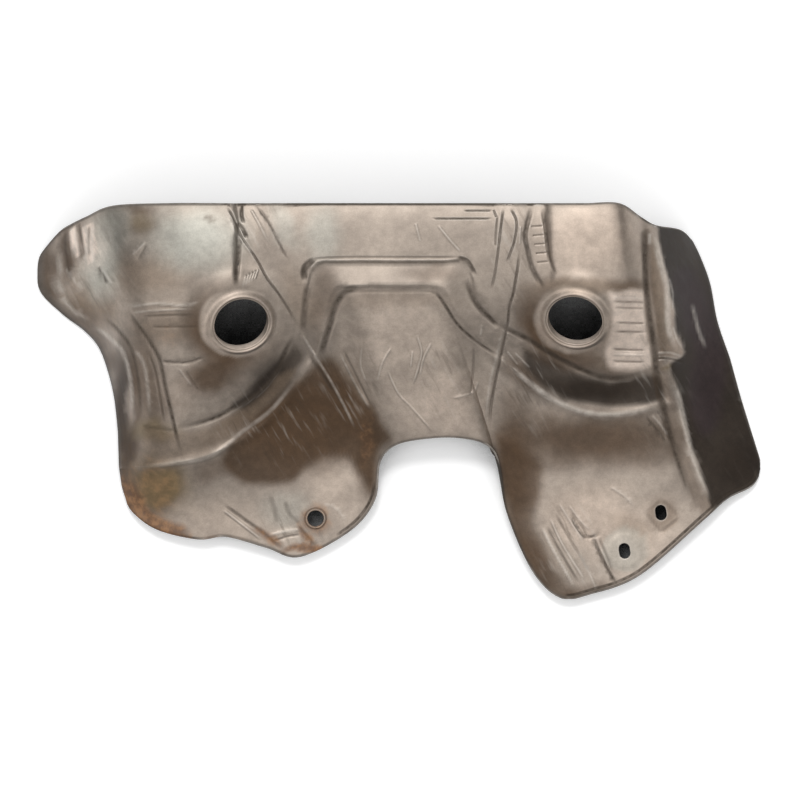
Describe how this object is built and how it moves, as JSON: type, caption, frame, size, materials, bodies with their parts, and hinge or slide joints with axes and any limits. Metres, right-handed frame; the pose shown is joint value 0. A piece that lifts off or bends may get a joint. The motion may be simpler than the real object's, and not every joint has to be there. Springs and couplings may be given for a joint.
{
  "type": "exhaust manifold heat shield",
  "caption": "Pressed sheet-metal heat shield with hemmed rim, stepped ledges, drawn sensor ports, bolt holes and a notch between its feet.",
  "frame": {"origin": "middle of the bounding box in plan, on the floor that the rim rests on", "axes": "+X along the shield from the lobe side to the steep flank, +Y from the feet to the straight top edge, +Z out of the domed side"},
  "size_m": [0.399, 0.2184, 0.0828],
  "materials": {
    "heat_shield": "heat-tinted aluminised sheet, satin, with rust at the rim"
  },
  "bodies": {
    "root": {"heat_shield": "heat_shield"}
  },
  "joints": []
}
